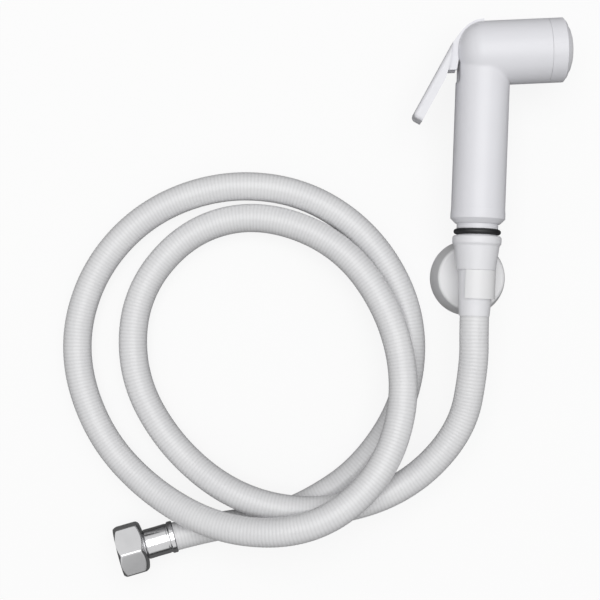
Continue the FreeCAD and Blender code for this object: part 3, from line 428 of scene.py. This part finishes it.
# Chamfer cones at both ends of the hexagon: the radius where each starts, and how fast it grows inwards.
BACK_START, BACK_RADIUS, BACK_GROWTH = 0.7, 11.5, 1.5
OPEN_RADIUS, OPEN_GROWTH = 12.0, 1.3
BACK_FACE, SHOULDER, SHOULDER_RISE = 8.4, 10.4, 0.35
OPEN_FACE, MOUTH, MOUTH_BORE, MOUTH_DEPTH = 11.7, 10.6, 9.55, 0.9
HEX_STEPS = (0.7, 0.85, 1.1, 1.4, 1.8, 2.2, 2.8, 3.6, 5.0, 7.0, 9.0, 10.6, 11.4, 12.0, 12.4, 12.8, 13.2,
             13.5, 13.8, 14.0)
THREAD_PITCH, THREAD_DEPTH, THREAD_RADIUS = 1.814, 0.34, 9.3
THREAD_IN, THREAD_RUN, THREAD_STEPS = 1.0, 7.1, 44
TAIL_BORE, SEAT, RELIEF_END, RELIEF_RADIUS = 5.1, 17.05, 21.2, 9.6


def chamfered(limit):
    """Hexagon radius held inside a cone, with a short round where the two meet."""
    return (hex_radius ** CHAMFER_POWER + limit ** CHAMFER_POWER) ** (1.0 / CHAMFER_POWER)


def thread_row(step):
    """One ring of the thread: its depth goes up and down along the nut and once round it."""
    along = HEX_END - THREAD_IN - step * (THREAD_RUN / THREAD_STEPS)
    wave = np.abs(((along / THREAD_PITCH + hex_turns / (2 * math.pi)) % 1.0) - 0.5) * 2.0
    return along, THREAD_RADIUS + THREAD_DEPTH * wave


nut_rows = [(HEX_START, TAIL_BORE), (HEX_START, BACK_FACE), (HEX_START + SHOULDER_RISE, SHOULDER)]
for along in HEX_STEPS:
    back_cone = BACK_RADIUS + (along - BACK_START) * BACK_GROWTH
    open_cone = OPEN_RADIUS + (HEX_LENGTH - along) * OPEN_GROWTH
    nut_rows.append((HEX_START + along, chamfered(min(back_cone, open_cone))))
nut_rows += [(HEX_END, OPEN_FACE), (HEX_END, MOUTH), (HEX_END - MOUTH_DEPTH, MOUTH_BORE)]
nut_rows += [thread_row(step) for step in range(THREAD_STEPS + 1)]
nut_rows += [(RELIEF_END, RELIEF_RADIUS), (SEAT, RELIEF_RADIUS), (SEAT, TAIL_BORE)]
swivel_nut = turned_grid("chrome_swivel_nut", nut_rows, hex_turns, CHROME, INLET_AXIS)
SHARP_EDGE = math.radians(38)
swivel_nut.data.set_sharp_from_angle(angle=SHARP_EDGE)
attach(swivel_nut, "swivel_nut")
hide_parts("inlet_nut")

# Hose nut at the handset: short rounded collar, cone, and the slim end that stands in the cup.
HOSE_NUT_PROFILE = [
    (-19.4, 7.46), (-19.35, 7.52), (-19.1, 7.57), (-14.0, 7.98), (-13.0, 8.1), (-12.2, 8.2), (3.4, 8.75),
    (3.4, 9.5), (3.47, 9.68), (3.65, 9.78), (15.1, 11.2), (15.4, 11.3), (15.7, 11.5), (16.2, 11.88),
    (16.6, 12.04), (17.0, 12.1), (19.0, 12.1), (19.5, 11.98), (19.9, 11.72), (20.2, 11.3), (20.3, 10.9),
    (20.3, 10.05), (13.3, 10.05), (13.3, 9.0), (9.6, 9.0), (9.6, 7.3), (-6.0, 7.3), (-12.0, 7.46)]
SHARP_CORNER = math.radians(50)
hose_nut = turned_grid("tapered_hose_nut", eased(HOSE_NUT_PROFILE), ring_turns, NUT_ABS, HANDLE_AXIS)
hose_nut.data.set_sharp_from_angle(angle=SHARP_CORNER)
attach(hose_nut, "shower")
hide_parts("cone_nut")

# Holder: its moulded edges are soft.
HOLDER_EDGE, HOLDER_SEGMENTS = 0.45, 3
soft = nodes["holder"].modifiers.new("soft_edges", "BEVEL")
soft.width = HOLDER_EDGE * MM
soft.segments = HOLDER_SEGMENTS
soft.limit_method = "ANGLE"
soft.angle_limit = SHARP_EDGE
soft.harden_normals = True

# The head's own origin, with the directions ahead to the nozzle and across, away from the handle.
HEAD_ORIGIN = Vector((0.0, 110.8, 29.0))
HEAD_TILT = math.radians(4.6)
HEAD_AHEAD = Vector((math.cos(HEAD_TILT), math.sin(HEAD_TILT), 0.0))
HEAD_ACROSS = Vector((-math.sin(HEAD_TILT), math.cos(HEAD_TILT), 0.0))

# Return spring: a copy of the solid's coil takes its place.
spring_mesh = nodes["return_spring"].data.copy()
spring_mesh.transform(nodes["return_spring"].matrix_world)
spring = bpy.data.objects.new("spring_coil", spring_mesh)
bpy.context.scene.collection.objects.link(spring)
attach(spring, "shower")
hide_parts("return_spring")
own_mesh(spring)

# Pivot pin: its ends are dressed flush with the round back of the head.
PIN_PLACE = (-4.4, 11.2)
PIN_RADIUS, PIN_SIDES = 1.25, 32
PIN_INSET, RIM_INSET = 0.04, 0.16
RIM_SHARE, CAP_SHARES = 1.0, (0.93, 0.7, 0.4, 0.1)
BACK_ROUND, BACK_WALL, BACK_CENTRE = 13.2, 2.6, -0.2


def head_skin(along, across):
    """Height of the head's outer skin over its middle plane, at the rounded back."""
    round_radius = BACK_WALL + math.sqrt(BACK_ROUND ** 2 - (along - BACK_CENTRE) ** 2)
    return math.sqrt(round_radius ** 2 - across ** 2)


def pin_ring(side, share):
    """Ring of points on one end of the pin (side 1 or -1), at a share of its radius."""
    inset = RIM_INSET if share == RIM_SHARE else PIN_INSET
    ring = []
    for j in range(PIN_SIDES):
        angle = 2 * math.pi * j / PIN_SIDES
        along = PIN_PLACE[0] + PIN_RADIUS * share * math.cos(angle)
        across = PIN_PLACE[1] + PIN_RADIUS * share * math.sin(angle)
        place = HEAD_ORIGIN + HEAD_AHEAD * along + HEAD_ACROSS * across
        place.z += side * (head_skin(along, across) - inset)
        ring.append(place * MM)
    return ring


def dressed_pin():
    """The pin, from the middle of its upper end over both rims to the middle of its lower end."""
    shares = (RIM_SHARE, *CAP_SHARES)
    rings = [pin_ring(1, share) for share in reversed(shares)] + [pin_ring(-1, share) for share in shares]
    last = (len(rings) - 1) * PIN_SIDES
    faces = ring_faces(len(rings), PIN_SIDES)
    faces += [tuple(range(PIN_SIDES))[::-1], tuple(range(last, last + PIN_SIDES))]
    pin = mesh_object("dressed_pivot_pin", [point for ring in rings for point in ring], faces, WHITE_ABS)
    pin.data.set_sharp_from_angle(angle=SHARP_CORNER)
    return pin


pivot_pin = dressed_pin()
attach(pivot_pin, "shower")
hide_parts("pivot_pin")

# Floor: white glow over a matt colour, which carries the shadows.
FLOOR_SIZE, FLOOR_CENTRE = 6.0, (-0.08, 0.0, 0.0)
# Share of the glow to the camera, and in gloss.
FLOOR_WHITE, FLOOR_GLOSS = 0.86, 0.06
# The matt colour, and the darker ones in bounced light and in gloss.
FLOOR_MATT, FLOOR_BOUNCE, FLOOR_MIRROR = 0.86, 0.20, 0.08
bpy.ops.mesh.primitive_plane_add(size=FLOOR_SIZE, location=FLOOR_CENTRE)
floor = bpy.context.object
floor.name = "floor"


def grey(value):
    """A grey with its alpha."""
    return (value, value, value, 1.0)


def either(tree, one, other):
    """The larger of two values."""
    node = tree.nodes.new("ShaderNodeMath")
    node.operation = "MAXIMUM"
    tree.links.new(one, node.inputs[0])
    tree.links.new(other, node.inputs[1])
    return node.outputs[0]


def times(tree, value, factor):
    """A value times a factor."""
    node = tree.nodes.new("ShaderNodeMath")
    node.operation = "MULTIPLY"
    node.inputs[1].default_value = factor
    tree.links.new(value, node.inputs[0])
    return node.outputs[0]


def tint_for(tree, ray, base, other):
    """The base colour, and the other one to this kind of ray."""
    mix = tree.nodes.new("ShaderNodeMix")
    mix.data_type = "RGBA"
    tree.links.new(ray, mix.inputs["Factor"])
    if isinstance(base, tuple):
        mix.inputs["A"].default_value = base
    else:
        tree.links.new(base, mix.inputs["A"])
    mix.inputs["B"].default_value = other
    return mix.outputs["Result"]


def floor_material():
    """Pale floor: nearly white to the camera with its shadows kept, darker in gloss and bounced light."""
    material = bpy.data.materials.new("floor")
    material.use_nodes = True
    tree = material.node_tree
    tree.nodes.clear()
    out = tree.nodes.new("ShaderNodeOutputMaterial")
    path = tree.nodes.new("ShaderNodeLightPath")
    matt = tree.nodes.new("ShaderNodeBsdfDiffuse")
    tone = tint_for(tree, path.outputs["Is Diffuse Ray"], grey(FLOOR_MATT), grey(FLOOR_BOUNCE))
    tone = tint_for(tree, path.outputs["Is Glossy Ray"], tone, grey(FLOOR_MIRROR))
    tree.links.new(tone, matt.inputs["Color"])
    glow = tree.nodes.new("ShaderNodeEmission")
    glow.inputs["Color"].default_value = grey(1.0)
    glow.inputs["Strength"].default_value = 1.0
    seen = either(tree, path.outputs["Is Camera Ray"], path.outputs["Is Transmission Ray"])
    part = either(tree, times(tree, seen, FLOOR_WHITE),
                  times(tree, path.outputs["Is Glossy Ray"], FLOOR_GLOSS))
    mix = tree.nodes.new("ShaderNodeMixShader")
    tree.links.new(part, mix.inputs["Fac"])
    tree.links.new(matt.outputs[0], mix.inputs[1])
    tree.links.new(glow.outputs[0], mix.inputs[2])
    tree.links.new(mix.outputs[0], out.inputs["Surface"])
    return material


floor.data.materials.append(floor_material())

# World and lamp. Gloss sees a sky that brightens between two heights over the horizon.
AMBIENT, GLOSS_SKY = 0.47, 0.85
HORIZON = (0.06, 0.06, 0.06)
SKY_FROM, SKY_TO = 0.22, 0.42
CENTRE = (-0.08, -0.02, 0.0)
KEY_PLACE, KEY_SIZE, KEY_POWER = (-0.06, 0.20, 1.30), (1.2, 1.1), 10.0


def world():
    """White to the camera, weak in diffuse light, in gloss bright overhead and dark near the horizon."""
    new_world = bpy.data.worlds.new("studio")
    bpy.context.scene.world = new_world
    new_world.use_nodes = True
    tree = new_world.node_tree
    tree.nodes.clear()
    out = tree.nodes.new("ShaderNodeOutputWorld")
    path = tree.nodes.new("ShaderNodeLightPath")
    shades = []
    for strength in (AMBIENT, GLOSS_SKY, 1.0):
        shade = tree.nodes.new("ShaderNodeBackground")
        shade.inputs["Color"].default_value = grey(1.0)
        shade.inputs["Strength"].default_value = strength
        shades.append(shade)
    place = tree.nodes.new("ShaderNodeTexCoord")
    parts = tree.nodes.new("ShaderNodeSeparateXYZ")
    tree.links.new(place.outputs["Generated"], parts.inputs[0])
    sky = ramp(tree, parts.outputs["Z"], HORIZON, WHITE, SKY_FROM, SKY_TO)
    tree.links.new(sky.outputs["Color"], shades[1].inputs["Color"])
    gloss = tree.nodes.new("ShaderNodeMixShader")
    tree.links.new(path.outputs["Is Glossy Ray"], gloss.inputs["Fac"])
    tree.links.new(shades[0].outputs[0], gloss.inputs[1])
    tree.links.new(shades[1].outputs[0], gloss.inputs[2])
    mix = tree.nodes.new("ShaderNodeMixShader")
    tree.links.new(either(tree, path.outputs["Is Camera Ray"], path.outputs["Is Transmission Ray"]),
                   mix.inputs["Fac"])
    tree.links.new(gloss.outputs[0], mix.inputs[1])
    tree.links.new(shades[2].outputs[0], mix.inputs[2])
    tree.links.new(mix.outputs[0], out.inputs["Surface"])


def lamp(name, place, aim, size, power):
    """A flat lamp that faces a point."""
    data = bpy.data.lights.new(name, "AREA")
    data.shape = "RECTANGLE"
    data.size, data.size_y = size
    data.energy = power
    obj = bpy.data.objects.new(name, data)
    obj.location = place
    obj.rotation_euler = (Vector(aim) - Vector(place)).to_track_quat("-Z", "Y").to_euler()
    bpy.context.scene.collection.objects.link(obj)


world()
lamp("key", KEY_PLACE, CENTRE, KEY_SIZE, KEY_POWER)
